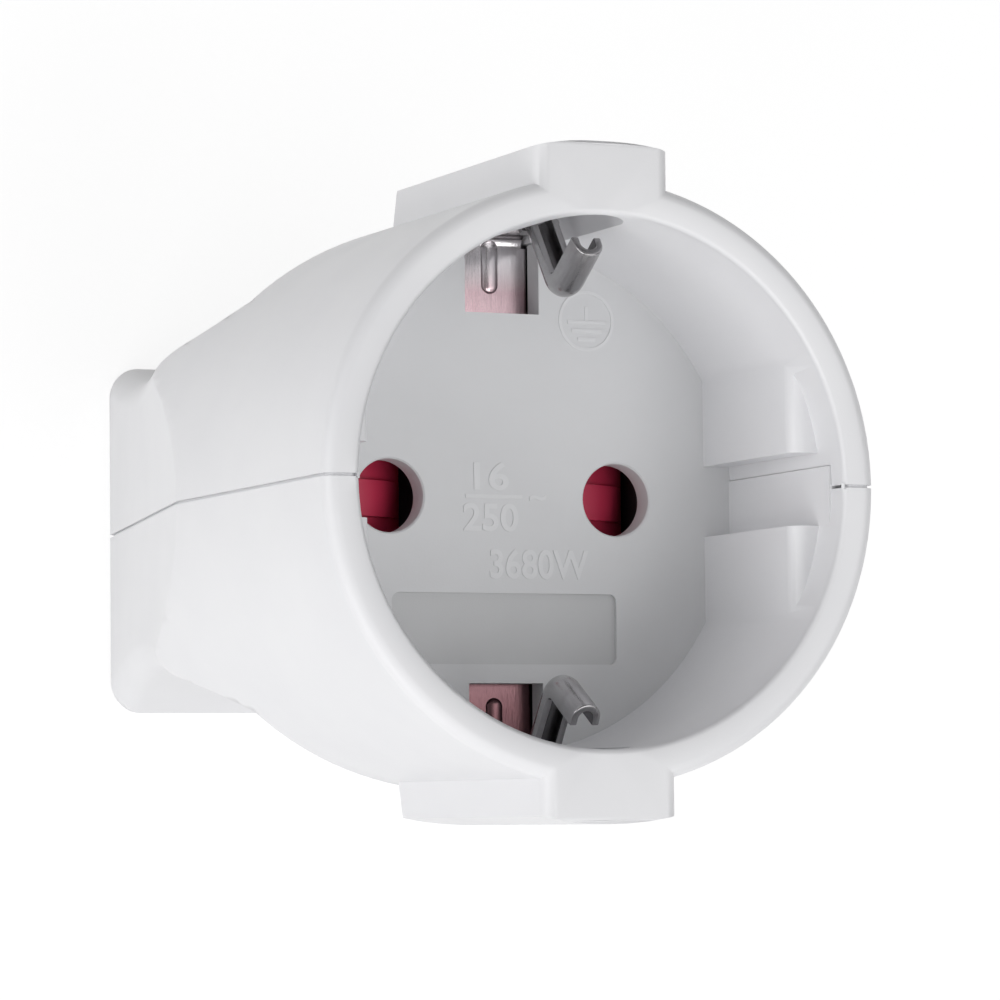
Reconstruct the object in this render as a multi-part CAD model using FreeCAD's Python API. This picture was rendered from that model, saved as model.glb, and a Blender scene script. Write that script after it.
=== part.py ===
import FreeCAD, Part
import math
import os

from FreeCAD import Vector

# Rewireable type F coupler socket: two half shells around a face plate, a sliding shutter,
# a contact carrier and the earth strip. It stands on its rear end with the socket up.
# Millimetres. X runs along the line of the pins, +Y to the upper lug, +Z out of the socket.

# Housing outside
collar_radius = 22.2
collar_length = 31.3
rim_outer_round = 1.0
rim_inner_bevel = 0.4
rear_half_width = 13.3
rear_half_height = 14.65
rear_half_height_lower = 15.3
straight_collar = 30.0
waist_height = 20.0
waist_half_height = 12.1
shoulder_foot_half_height = 15.9
shoulder_rise = 5.2
corner_round = 2.4
rear_bevel = 0.6
lug_rise = 2.7
lug_width = 10.8
lug_length = 27.2
lug_rear_lean = 1.6
lug_front_round = 1.1
lug_rear_round = 1.4

# Housing inside
wall = 2.1
rim_width = 2.7
parting_gap = 0.24
recess_depth = 18.2
inner_ledge = 1.5
rib_depth = 2.4
rib_slot = 5.5
rib_setback = 3.7
rib_front_round = 1.1
lip_height = 1.65
lip_thickness = 1.1
lip_setback = 2.0
pocket_width = 6.0
pocket_depth = 2.1
pocket_setback = 0.8

# Fits between pieces
seat_gap = 0.15
side_gap = 0.3
screw_gap = 0.05

# Face plate
plate_thickness = 2.0
pin_spacing = 19.0
pin_hole_radius = 2.8
pin_hole_chamfer = 0.12
window_width = 6.2
window_reach = 5.35
name_field_width = 18.8
name_field_height = 5.4
name_field_offset = 10.0
name_field_depth = 0.3
name_field_round = 0.6

# Shutter
shutter_thickness = 4.0
shutter_half_width = 4.2
shutter_overlap = 0.4
shutter_travel = 5.8
shutter_window_rail = 1.1
ramp_foot = 0.6
ramp_rib_width = 2.8
ramp_rib_rise = 0.55
ear_width = 3.6
ear_length = 2.6
ear_start = 4.0

# Shutter spring
spring_radius = 1.4
spring_wire = 0.4
spring_coils = 5
spring_length = 12.0

# Contact carrier
chamber_floor = 2.2
tower_wall = 1.0
tower_length = 17.5

# Line contacts and terminals
leaf_thickness = 0.6
leaf_width = 6.0
leaf_neck = 2.3
leaf_belly = 2.9
leaf_mouth_setback = 0.4
leaf_neck_setback = 3.2
leaf_belly_setback = 6.5
leaf_bend = 2.0
foot_bend = 0.7
terminal_width = 7.0
terminal_height = 8.2
terminal_depth = 6.4
wire_hole_radius = 1.7
wire_hole_depth = 4.8
terminal_screw_radius = 1.5
terminal_head_radius = 2.3
terminal_head_height = 1.8
terminal_screw_reach = 2.4

# Earth strip and its clips, measured inwards from the recess wall and back from the rim
strip_thickness = 0.7
strip_width = 6.2
strip_slot_wall = 1.8
strip_leg_length = 15.8
strip_bend = 1.5
clip_width = 2.7
clip_thickness = 0.5
clip_bend = 0.8
clip_wall_leg_depth = 0.85
clip_wall_leg_width = 5.4
clip_turn_drop = 12.6
clip_apex_inset = 6.05
clip_apex_drop = 7.4
clip_tip_inset = 2.75
clip_tip_drop = 2.3
clip_apex_round = 1.9
clip_gutter_depth = 1.5
clip_gutter_bevel = 0.85
bead_width = 1.3
bead_rise = 0.25
bead_length = 2.4
bead_inset = 0.5

# Earth terminal
earth_plate_side = 6.8
earth_plate_thickness = 2.0
earth_screw_radius = 1.75
earth_head_radius = 3.0
earth_head_height = 2.2
earth_screw_reach = 2.6

# Cord entry and clamp
entry_radius = 4.6
clamp_height = 9.5
clamp_depth = 6.0
clamp_seat = 2.6
clamp_foot_thickness = 2.4
clamp_foot_round = 1.2
clamp_arch_radius = 4.4
clamp_arch_wall = 2.0
clamp_screw_radius = 1.4
clamp_head_radius = 2.4
clamp_head_height = 1.7
clamp_screw_length = 6.5
clamp_boss_wall = 1.3
saddle_rib = 1.2

# Housing screws
wiring_room = 5.35
housing_screw_offset = 9.0
housing_screw_radius = 1.5
housing_head_radius = 2.7
housing_head_height = 2.0
housing_head_sink = 6.0
housing_screw_reach = 6.0
housing_boss_wall = 1.0

# Levels worked out from the sizes above, from the rear end to the rim
housing_boss_radius = housing_head_radius + side_gap + housing_boss_wall
housing_screw_height = clamp_height + clamp_depth / 2 + wiring_room + housing_boss_radius
tower_rear = housing_screw_height + housing_boss_radius + seat_gap
carrier_back = tower_rear + tower_length
chamber_level = carrier_back + chamber_floor
shutter_back = chamber_level + side_gap
shutter_front = shutter_back + shutter_thickness
plate_back = shutter_front + side_gap
plate_front = plate_back + plate_thickness
length = plate_front + recess_depth
shoulder_foot = length - collar_length
flank_end = length - straight_collar

# Widths worked out from the sizes above
recess_radius = collar_radius - rim_width
cavity_radius = collar_radius - wall
plate_radius = cavity_radius - seat_gap
lug_radius = collar_radius + lug_rise
rib_flat = recess_radius - rib_depth
window_inner = recess_radius - window_reach
pin_x = pin_spacing / 2
hole_edge = pin_x + pin_hole_radius
shutter_end = hole_edge + shutter_overlap
ramp_start = pin_x - pin_hole_radius - shutter_overlap
chamber_half_width = shutter_half_width + side_gap
trough_edge = shutter_half_width + ear_width + side_gap
half_gap = parting_gap / 2
contact_base = tower_rear + side_gap + terminal_depth
leaf_mouth = terminal_height / 2 - leaf_thickness
tower_half_width = terminal_width / 2 + side_gap
tower_half_height = terminal_height / 2 + side_gap
strip_level = plate_back - side_gap
strip_leg = trough_edge + strip_slot_wall + side_gap
strip_cross_height = strip_level - strip_leg_length
wall_leg = recess_radius + clip_wall_leg_depth
clamp_screw_offset = clamp_arch_radius + clamp_arch_wall + clamp_head_radius + side_gap
clamp_boss_radius = clamp_screw_radius + clamp_boss_wall
clamp_foot_end = clamp_screw_offset + clamp_head_radius + side_gap

Z = Vector(0, 0, 1)
Y = Vector(0, 1, 0)
X = Vector(1, 0, 0)


def box(x0, x1, y0, y1, z0, z1):
    return Part.makeBox(x1 - x0, y1 - y0, z1 - z0, Vector(x0, y0, z0))


def disc(radius, z0, z1, x=0.0, y=0.0):
    return Part.makeCylinder(radius, z1 - z0, Vector(x, y, z0), Z)


def rod_y(radius, y0, y1, x, z):
    return Part.makeCylinder(radius, y1 - y0, Vector(x, y0, z), Y)


def yz(y, z):
    return Vector(0, y, z)


def fuse_all(solids):
    return solids[0].multiFuse(solids[1:]).removeSplitter()


def prism(edges, start, run):
    """Extrude a closed outline of edges along run, moved to start."""
    face = Part.Face(Part.Wire(Part.__sortEdges__(edges)))
    face.translate(start)
    return face.extrude(run)


def polygon(points):
    loop = points + [points[0]]
    return [Part.LineSegment(a, b).toShape() for a, b in zip(loop, loop[1:])]


def bent_path(points, rounds):
    """Straight runs through points, each inner corner bent to its radius."""
    edges = []
    start = points[0]
    for before, corner, after, radius in zip(points, points[1:], points[2:], rounds):
        into = (corner - before).normalize()
        out = (after - corner).normalize()
        turn = into.getAngle(out)
        cut = radius * math.tan(turn / 2)
        first = corner - into * cut
        last = corner + out * cut
        inward = (out - into).normalize()
        middle = corner + inward * (radius / math.cos(turn / 2) - radius)
        edges.append(Part.LineSegment(start, first).toShape())
        edges.append(Part.Arc(first, middle, last).toShape())
        start = last
    edges.append(Part.LineSegment(start, points[-1]).toShape())
    return Part.Wire(edges)


def shifted(points, distance):
    """The same straight runs moved sideways, to the right of their direction of travel."""
    runs = []
    for a, b in zip(points, points[1:]):
        along = (b - a).normalize()
        runs.append((a + yz(along.z, -along.y) * distance, along))
    moved = [runs[0][0]]
    for (a, u), (b, v) in zip(runs, runs[1:]):
        gap = b - a
        moved.append(a + u * ((gap.y * v.z - gap.z * v.y) / (u.y * v.z - u.z * v.y)))
    return moved + [runs[-1][0] + points[-1] - points[-2]]


def turns_right(before, corner, after):
    into = corner - before
    out = after - corner
    return into.y * out.z - into.z * out.y < 0


def ribbon(points, rounds, thickness, width, middle=0.0):
    """Sheet metal bent through points, its thickness to the right, its width across the YZ plane."""
    inner = []
    for before, corner, after, radius in zip(points, points[1:], points[2:], rounds):
        change = -thickness if turns_right(before, corner, after) else thickness
        inner.append(radius + change)
    near = bent_path(points, rounds)
    far_points = shifted(points, thickness)
    far = bent_path(far_points, inner)
    caps = [Part.LineSegment(points[0], far_points[0]).toShape(),
            Part.LineSegment(points[-1], far_points[-1]).toShape()]
    return prism(near.Edges + far.Edges + caps, Vector(middle - width / 2, 0, 0), Vector(width, 0, 0))


def edges_where(shape, test):
    return [edge for edge in shape.Edges if test(edge.BoundBox)]


def mirrored_y(shape):
    return shape.mirror(Vector(0, 0, 0), Y)


def rounded_loop(points, rounds):
    """Closed straight-sided outline whose corners take their own radius, 0 for a sharp one."""
    edges = []
    count = len(points)
    starts = []
    ends = []
    for i, radius in enumerate(rounds):
        corner = points[i]
        into = (corner - points[i - 1]).normalize()
        out = (points[(i + 1) % count] - corner).normalize()
        cut = radius * math.tan(into.getAngle(out) / 2)
        first = corner - into * cut
        last = corner + out * cut
        if radius > 0:
            inward = (out - into).normalize()
            middle = corner + inward * (radius / math.cos(into.getAngle(out) / 2) - radius)
            edges.append(Part.Arc(first, middle, last).toShape())
        ends.append(first)
        starts.append(last)
    for i in range(count):
        edges.append(Part.LineSegment(starts[i - 1], ends[i]).toShape())
    return edges


def face_profile(rear_height):
    """One long face from the side: rear end, hollow waist, shoulder, collar."""
    top = collar_radius + lug_rise
    foot = shoulder_foot_half_height
    rise = top - foot
    shoulder_top = yz(top, shoulder_foot + shoulder_rise)
    waist = Part.Arc(yz(rear_height, 0), yz(waist_half_height, waist_height), yz(foot, shoulder_foot))
    shoulder = Part.Arc(yz(foot, shoulder_foot), yz(foot + 0.37 * rise, shoulder_foot + 0.22 * shoulder_rise),
                        shoulder_top)
    return [waist.toShape(), shoulder.toShape(), Part.LineSegment(shoulder_top, yz(top, length)).toShape()]


def side_outline():
    """Side view of the grip and collar, its lower rear a little deeper than its upper one."""
    top = collar_radius + lug_rise
    lower = [edge.mirror(Vector(0, 0, 0), Y) for edge in face_profile(rear_half_height_lower)]
    ends = [Part.LineSegment(yz(-rear_half_height_lower, 0), yz(rear_half_height, 0)).toShape(),
            Part.LineSegment(yz(-top, length), yz(top, length)).toShape()]
    return face_profile(rear_half_height) + lower + ends


def plan_outline():
    """Plan view: flat flanks that narrow from the collar to the rear end."""
    slope = (collar_radius - rear_half_width) / flank_end
    front = rear_half_width + slope * length
    return polygon([Vector(-rear_half_width, 0, 0), Vector(rear_half_width, 0, 0),
                    Vector(front, 0, length), Vector(-front, 0, length)])


def tapered_block(inset, rear_edge=0.0, side_round=0.0):
    """Grip with flat flanks and waisted faces, all moved inwards by inset."""
    reach = 2 * collar_radius
    side = Part.Face(Part.Wire(Part.__sortEdges__(side_outline())))
    plan = Part.Face(Part.Wire(Part.__sortEdges__(plan_outline())))
    if inset > 0:
        side = side.makeOffset2D(-inset)
        plan = plan.makeOffset2D(-inset)
    side.translate(Vector(-reach, 0, 0))
    plan.translate(Vector(0, -reach, 0))
    side = side.extrude(Vector(2 * reach, 0, 0))
    plan = plan.extrude(Vector(0, 2 * reach, 0))
    block = side.common(plan)
    if side_round > 0:
        corners = edges_where(block, lambda b: b.ZMin < waist_height / 2 and b.ZMax > waist_height)
        block = block.makeFillet(side_round, corners)
    if rear_edge > 0:
        rear = edges_where(block, lambda b: b.ZMax < wall / 2)
        block = block.makeChamfer(rear_edge, rear)
    return block


def collar():
    """Round collar with its front outer edge rounded."""
    body = disc(collar_radius, 0, length)
    front = edges_where(body, lambda b: b.ZMin > length - wall / 2)
    return body.makeFillet(rim_outer_round, front)


def lug():
    """Finger lug on the upper side of the collar, flush with the rim, its outer face round with the collar."""
    base = recess_radius
    rear = length - lug_length
    half = lug_width / 2
    top = lug_radius
    side = rounded_loop([yz(base, rear), yz(base, length), yz(top, length), yz(top, rear + lug_rear_lean)],
                        [0, 0, lug_front_round / 2, lug_rear_round])
    bar = prism(side, Vector(-half, 0, 0), Vector(lug_width, 0, 0))
    plan = rounded_loop([Vector(-half, 0, rear), Vector(half, 0, rear), Vector(half, 0, length),
                         Vector(-half, 0, length)], [0, 0, lug_front_round, lug_front_round])
    bar = bar.common(prism(plan, Vector(0, 0, 0), Vector(0, 2 * collar_radius, 0)))
    return bar.common(disc(lug_radius, 0, length))


def recess_cutter():
    """Plug recess with its bevelled mouth."""
    low = length - rim_inner_bevel
    mouth = Part.makeCone(recess_radius, recess_radius + rim_inner_bevel, rim_inner_bevel, Vector(0, 0, low))
    return fuse_all([disc(recess_radius, plate_front, length), mouth])


def cavity():
    """Inside of both shells: the grip's hollow and the seat of the carrier and the plate."""
    grip = tapered_block(wall).common(disc(cavity_radius - inner_ledge, 0, carrier_back))
    return grip.fuse(disc(cavity_radius, carrier_back, plate_front))


def key_ribs(side):
    """The pair of ribs beside the guide slot at one end of the pin line."""
    front = length - rib_setback
    outline = rounded_loop([Vector(side * rib_flat, 0, plate_front), Vector(side * rib_flat, 0, front),
                            Vector(side * collar_radius, 0, front), Vector(side * collar_radius, 0, plate_front)],
                           [0, rib_front_round, 0, 0])
    bar = prism(outline, Vector(0, -recess_radius, 0), Vector(0, 2 * recess_radius, 0))
    bar = bar.common(disc(recess_radius + wall / 2, 0, length))
    return bar.cut(box(-collar_radius, collar_radius, -rib_slot / 2, rib_slot / 2, 0, length))


def clip_pocket():
    """Room for an earth clip in the wall of the collar, upper side, with a half-round front end."""
    half = pocket_width / 2
    arch = length - pocket_setback - half
    room = box(-half, half, window_inner, recess_radius + pocket_depth, plate_back - plate_thickness, arch)
    return fuse_all([room, rod_y(half, window_inner, recess_radius + pocket_depth, 0, arch)])


def outer_body():
    """The whole housing outside as one closed form."""
    body = collar().common(tapered_block(0, rear_bevel, corner_round))
    upper_lug = lug()
    return fuse_all([body, upper_lug, mirrored_y(upper_lug)])


def hollow_body():
    body = outer_body().cut(cavity()).cut(recess_cutter())
    body = fuse_all([body, key_ribs(1), key_ribs(-1)])
    pocket = clip_pocket()
    body = body.cut(pocket).cut(mirrored_y(pocket))
    return body.cut(disc(entry_radius, -1, wall + 1))


def lip_box(side, grow):
    inner = recess_radius - 0.2 - grow
    outer = inner + lip_thickness + 2 * grow
    x0, x1 = sorted((side * inner, side * outer))
    return box(x0, x1, -rib_slot / 2, lip_height + grow, plate_front, length - lip_setback + grow)


def housing_boss(y0, y1, side):
    return rod_y(housing_boss_radius, y0, y1, side * housing_screw_offset, housing_screw_height)


def within_housing(shape):
    return shape.common(tapered_block(wall / 2))


def upper_shell():
    """Half shell with the upper lug, blind bosses for the housing screws."""
    half = hollow_body().common(box(-40, 40, half_gap, 40, -1, length + 1))
    reach = rear_half_height
    bosses = [within_housing(housing_boss(half_gap, reach, side)) for side in (-1, 1)]
    shell = fuse_all([half] + bosses)
    for side in (-1, 1):
        pilot = rod_y(housing_screw_radius + screw_gap, half_gap - 1, housing_screw_reach + 0.5,
                      side * housing_screw_offset, housing_screw_height)
        shell = shell.cut(pilot).cut(lip_box(side, screw_gap))
    return shell


def clamp_boss(side):
    x = side * clamp_screw_offset
    post = rod_y(clamp_boss_radius, -rear_half_height, -clamp_seat, x, clamp_height)
    return within_housing(post)


def saddle():
    """Two ribs that cradle the cord below its clamp."""
    ribs = []
    for offset in (-clamp_depth / 2, clamp_depth / 2 - saddle_rib):
        z = clamp_height + offset
        rib = box(-clamp_arch_radius - side_gap, clamp_arch_radius + side_gap, -rear_half_height, -clamp_seat, z, z + saddle_rib)
        ribs.append(within_housing(rib).cut(disc(clamp_arch_radius, 0, length)))
    return ribs


def lower_shell():
    """Half shell with the parting lip, the screw wells, the clamp bosses and the saddle."""
    half = hollow_body().common(box(-40, 40, -40, -half_gap, -1, length + 1))
    reach = rear_half_height
    bosses = [within_housing(housing_boss(-reach, -half_gap, side)) for side in (-1, 1)]
    posts = [clamp_boss(side) for side in (-1, 1)]
    lips = [lip_box(side, 0).common(disc(collar_radius - wall / 2, 0, length)) for side in (-1, 1)]
    shell = fuse_all([half] + bosses + posts + saddle() + lips)
    for side in (-1, 1):
        x = side * housing_screw_offset
        shank = rod_y(housing_screw_radius + screw_gap, -reach, 1, x, housing_screw_height)
        well = rod_y(housing_head_radius + side_gap, -reach, -housing_head_sink, x, housing_screw_height)
        pilot = rod_y(clamp_screw_radius + screw_gap, -clamp_seat - clamp_screw_length, -clamp_seat + 1,
                      side * clamp_screw_offset, clamp_height)
        shell = shell.cut(shank).cut(well).cut(pilot)
    return shell


def face_plate():
    """Round plate at the bottom of the recess with pin holes, clip windows and a bare name field."""
    plate = disc(plate_radius, plate_back, plate_front)
    for side in (-1, 1):
        plate = plate.cut(disc(pin_hole_radius, plate_back - 1, plate_front + 1, side * pin_x))
        window_y = sorted((side * window_inner, side * collar_radius))
        plate = plate.cut(box(-window_width / 2, window_width / 2, window_y[0], window_y[1],
                              plate_back - 1, plate_front + 1))
    rims = edges_where(plate, lambda b: b.ZMin > plate_front - 0.1 and b.XLength < 2 * pin_hole_radius + 0.1
                       and b.YLength < 2 * pin_hole_radius + 0.1 and b.XLength > pin_hole_radius
                       and b.YLength > pin_hole_radius)
    plate = plate.makeChamfer(pin_hole_chamfer, rims)
    half_width = name_field_width / 2
    field = box(-half_width, half_width, -name_field_offset - name_field_height / 2,
                -name_field_offset + name_field_height / 2, plate_front - name_field_depth, plate_front + 1)
    corners = edges_where(field, lambda b: b.ZLength > name_field_depth)
    field = field.makeFillet(name_field_round, corners)
    return plate.cut(field)


def ramp_curve(x0, x1, start, foot):
    """Slope that starts level and gets steeper, as one arc."""
    run = x1 - x0
    lean = math.atan2(start - foot, run)
    radius = run / math.sin(2 * lean)
    middle = Vector(x0 + radius * math.sin(lean), 0, start - radius * (1 - math.cos(lean)))
    return Part.Arc(Vector(x0, 0, start), middle, Vector(x1, 0, foot)).toShape()


def shutter_ramp(x0, x1):
    """Side and middle slopes under one pin hole, as the material to take away."""
    top = shutter_front + 1
    foot = shutter_back + ramp_foot
    rib = ramp_rib_width / 2
    cutters = []
    for drop, y0, y1 in ((ramp_rib_rise, -shutter_half_width, -rib), (0.0, -rib, rib),
                         (ramp_rib_rise, rib, shutter_half_width)):
        start = shutter_front - drop
        sides = Part.makePolygon([Vector(x1, 0, foot), Vector(x1, 0, top), Vector(x0, 0, top),
                                  Vector(x0, 0, start)])
        outline = [ramp_curve(x0, x1, start, foot)] + sides.Edges
        cutters.append(prism(outline, Vector(0, y0, 0), Vector(0, y1 - y0, 0)))
    return cutters


def shutter():
    """Child-safety slider: a ramp under each pin hole, a window beside the left ramp, a spring ear."""
    bar = box(-shutter_end, shutter_end, -shutter_half_width, shutter_half_width, shutter_back, shutter_front)
    rail = shutter_half_width - shutter_window_rail
    window = box(-ramp_start, -ramp_start + 2 * pin_hole_radius, -rail, rail, shutter_back - 1, shutter_front + 1)
    ear = box(ear_start, ear_start + ear_length, shutter_half_width - 0.5, shutter_half_width + ear_width,
              shutter_back, shutter_front)
    bar = fuse_all([bar, ear]).cut(window)
    for cutter in shutter_ramp(-shutter_end, -ramp_start) + shutter_ramp(ramp_start, shutter_end):
        bar = bar.cut(cutter)
    return bar


def shutter_spring():
    """Compression spring along X between the trough's end and the shutter's ear, drawn with ten
    straight runs and a square wire to each coil."""
    steps = 10 * spring_coils
    half = spring_wire / 2
    inner = spring_radius - half
    outer = spring_radius + half
    middle_y = shutter_half_width + side_gap + (ear_width - side_gap) / 2
    middle_z = (shutter_front + shutter_back) / 2
    rings = []
    for step in range(steps + 1):
        turn = 2 * math.pi * spring_coils * step / steps
        x = ear_start - spring_wire - (spring_length - 2 * spring_wire) * step / steps
        ring = []
        for along, radius in ((-half, inner), (half, inner), (half, outer), (-half, outer)):
            ring.append(Vector(x + along, middle_y + radius * math.cos(turn), middle_z + radius * math.sin(turn)))
        rings.append(Part.makePolygon(ring + [ring[0]]))
    return Part.makeLoft(rings, True, True)


def tower(side):
    """Chamber for one line contact and its terminal, open at the rear."""
    x = side * pin_x
    wide = tower_half_width
    high = tower_half_height
    rim = tower_wall
    outer = box(x - wide - rim, x + wide + rim, -high - rim, high + rim, tower_rear, carrier_back + 0.5)
    inner = box(x - wide, x + wide, -high, high, tower_rear - 1, carrier_back)
    slot = box(x - terminal_head_radius - side_gap, x + terminal_head_radius + side_gap, 0, 2 * high,
               tower_rear - 1, tower_rear + terminal_depth)
    return outer.cut(inner).cut(slot)


def contact_carrier():
    """Moulding behind the plate: shutter chamber, spring trough, pin passages and two towers."""
    body = disc(plate_radius, carrier_back, plate_back)
    chamber = box(-shutter_end - shutter_travel - side_gap, shutter_end + side_gap, -chamber_half_width,
                  chamber_half_width, chamber_level, plate_back + 1)
    trough = box(ear_start - spring_length - side_gap / 3, ear_start + ear_length + side_gap,
                 chamber_half_width - 1, trough_edge, chamber_level, plate_back + 1)
    body = body.cut(chamber).cut(trough)
    slot = box(-strip_width / 2 - side_gap, strip_width / 2 + side_gap, strip_leg - side_gap, collar_radius,
               carrier_back - 1, plate_back + 1)
    body = body.cut(slot).cut(mirrored_y(slot))
    body = fuse_all([body, tower(-1), tower(1)])
    for side in (-1, 1):
        body = body.cut(disc(pin_hole_radius + seat_gap, carrier_back - 1, chamber_level + 1, side * pin_x))
    return body


def line_contact(side):
    """Two-leaf spring sleeve that grips one pin, with its base on the terminal block."""
    mouth = carrier_back - leaf_mouth_setback
    points = [yz(leaf_mouth, mouth), yz(leaf_neck, carrier_back - leaf_neck_setback),
              yz(leaf_belly, carrier_back - leaf_belly_setback), yz(leaf_belly, contact_base + leaf_thickness),
              yz(0, contact_base + leaf_thickness)]
    half = ribbon(points, [leaf_bend, leaf_bend, foot_bend], leaf_thickness, leaf_width, side * pin_x)
    return fuse_all([half, mirrored_y(half)])


def line_terminal(side):
    """Brass terminal block with a wire hole from the rear and a cross hole for its screw."""
    x = side * pin_x
    low = contact_base - terminal_depth
    block = box(x - terminal_width / 2, x + terminal_width / 2, -terminal_height / 2, terminal_height / 2,
                low, contact_base)
    block = block.cut(disc(wire_hole_radius, low - 1, low + wire_hole_depth, x))
    middle = low + terminal_depth / 2
    return block.cut(rod_y(terminal_screw_radius + screw_gap, 0, terminal_height, x, middle))


def headed_screw_y(radius, length_under_head, head_radius, head_height, x, y, z, way):
    """Screw along Y whose head rests on the plane y and whose shank runs the other way."""
    shank = rod_y(radius, min(y, y - way * length_under_head), max(y, y - way * length_under_head), x, z)
    head = rod_y(head_radius, min(y, y + way * head_height), max(y, y + way * head_height), x, z)
    return fuse_all([shank, head])


def line_terminal_screw(side):
    middle = contact_base - terminal_depth / 2
    reach = terminal_height / 2 - terminal_screw_reach
    return headed_screw_y(terminal_screw_radius, terminal_height / 2 - reach + wire_hole_radius / 2, terminal_head_radius,
                          terminal_head_height, side * pin_x, terminal_height / 2, middle, 1)


def clip_points():
    return [yz(wall_leg, length - clip_turn_drop),
            yz(recess_radius - clip_apex_inset, length - clip_apex_drop),
            yz(recess_radius - clip_tip_inset, length - clip_tip_drop)]


def clip_gutter():
    """V clip with a bevelled gutter section, open towards the wall of the collar."""
    points = clip_points()
    points[0] = points[0] + (points[1] - points[0]) * 0.12
    along = (points[1] - points[0]).normalize()
    deep = yz(along.z, -along.y)
    half = clip_width / 2
    low = clip_gutter_bevel
    inner_low = low + clip_thickness * (math.sqrt(2) - 1)
    outline = [(-half, clip_gutter_depth), (-half, low), (low - half, 0), (half - low, 0), (half, low),
               (half, clip_gutter_depth), (half - clip_thickness, clip_gutter_depth),
               (half - clip_thickness, inner_low), (half - inner_low, clip_thickness),
               (inner_low - half, clip_thickness), (clip_thickness - half, inner_low),
               (clip_thickness - half, clip_gutter_depth)]
    profile = Part.Wire(polygon([points[0] + X * across + deep * depth for across, depth in outline]))
    return bent_path(points, [clip_apex_round]).makePipeShell([profile], True, False)


def half_strip():
    """Upper half of the earth strip: cross bar, leg, plate in the window, wall leg and V clip."""
    level = strip_level
    wide_end = recess_radius
    wide = ribbon([yz(0, strip_cross_height), yz(strip_leg, strip_cross_height), yz(strip_leg, level),
                   yz(wide_end, level)], [strip_bend, strip_bend], strip_thickness, strip_width)
    up = [yz(wide_end - bead_inset, level), yz(wall_leg, level)]
    broad = ribbon(up + [yz(wall_leg, length - clip_turn_drop - clip_apex_round)], [clip_bend], clip_thickness,
                   clip_wall_leg_width)
    narrow = ribbon(up + clip_points()[:2], [clip_bend, clip_bend], clip_thickness, clip_width)
    narrow = narrow.cut(box(-collar_radius, collar_radius, 0, wall_leg - clip_apex_round, level + 1, length))
    round_end = wide_end - bead_inset - bead_length
    low = level - strip_thickness / 2
    axis = level + bead_rise - bead_width / 2
    bead = fuse_all([rod_y(bead_width / 2, round_end, wide_end - bead_inset, 0, axis),
                     Part.makeCone(bead_width / 2, bead_width / 4, bead_width / 4, yz(round_end, axis), -Y)])
    bead = bead.common(box(-bead_width, bead_width, strip_leg, wide_end, low, level + strip_thickness))
    return fuse_all([wide, broad, narrow, clip_gutter(), bead])


def earth_strip():
    """One stamped and bent strip with both earth clips and the hole of its terminal screw."""
    upper = half_strip()
    strip = fuse_all([upper, mirrored_y(upper)])
    hole = disc(earth_screw_radius + screw_gap, strip_cross_height - strip_thickness - 1, strip_cross_height + 1)
    return strip.cut(hole)


def earth_terminal_plate():
    """Square nut plate in front of the strip's cross bar."""
    half = earth_plate_side / 2
    top = strip_cross_height + earth_plate_thickness
    plate = box(-half, half, -half, half, strip_cross_height, top)
    return plate.cut(disc(earth_screw_radius + screw_gap, strip_cross_height - 1, top + 1))


def earth_terminal_screw():
    seat = strip_cross_height - strip_thickness
    shank = disc(earth_screw_radius, seat, strip_cross_height + earth_plate_thickness + earth_screw_reach)
    return fuse_all([shank, disc(earth_head_radius, seat - earth_head_height, seat)])


def cord_clamp():
    """Saddle strap over the cord, its feet on the two bosses."""
    z0 = clamp_height - clamp_depth / 2
    z1 = clamp_height + clamp_depth / 2
    ring = disc(clamp_arch_radius + clamp_arch_wall, z0, z1)
    ring = ring.common(box(-40, 40, -clamp_seat, 40, z0, z1))
    feet = box(-clamp_foot_end, clamp_foot_end, -clamp_seat, -clamp_seat + clamp_foot_thickness, z0, z1)
    corners = edges_where(feet, lambda b: b.YLength > clamp_foot_thickness / 2 and b.DiagonalLength < b.YLength * 1.01)
    strap = fuse_all([ring, feet.makeFillet(clamp_foot_round, corners)]).cut(disc(clamp_arch_radius, z0 - 1, z1 + 1))
    for side in (-1, 1):
        strap = strap.cut(rod_y(clamp_screw_radius + screw_gap, -clamp_seat - 1, clamp_seat,
                                side * clamp_screw_offset, clamp_height))
    return strap


def clamp_screw(side):
    seat = -clamp_seat + clamp_foot_thickness
    return headed_screw_y(clamp_screw_radius, clamp_screw_length, clamp_head_radius, clamp_head_height,
                          side * clamp_screw_offset, seat, clamp_height, 1)


def housing_screw(side):
    reach = housing_head_sink + housing_screw_reach
    return headed_screw_y(housing_screw_radius, reach, housing_head_radius, housing_head_height,
                          side * housing_screw_offset, -housing_head_sink, housing_screw_height, -1)


def save(name, shape):
    solids = shape.Solids
    solid = solids[0] if len(solids) == 1 else Part.makeCompound(solids)
    print(f"{name}: {len(solids)} solid, valid {solid.isValid()}, volume {solid.Volume:.1f}")
    solid.exportStep(f"parts/{name}.step")


os.makedirs("parts", exist_ok=True)
save("upper_shell", upper_shell())
save("lower_shell", lower_shell())
save("face_plate", face_plate())
save("shutter", shutter())
save("shutter_spring", shutter_spring())
save("contact_carrier", contact_carrier())
save("earth_strip", earth_strip())
save("earth_terminal_plate", earth_terminal_plate())
save("earth_terminal_screw", earth_terminal_screw())
save("cord_clamp", cord_clamp())
for pole, side in (("live", -1), ("neutral", 1)):
    save(f"{pole}_contact", line_contact(side))
    save(f"{pole}_terminal", line_terminal(side))
    save(f"{pole}_terminal_screw", line_terminal_screw(side))
for place, side in (("left", -1), ("right", 1)):
    save(f"clamp_screw_{place}", clamp_screw(side))
    save(f"housing_screw_{place}", housing_screw(side))
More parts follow.
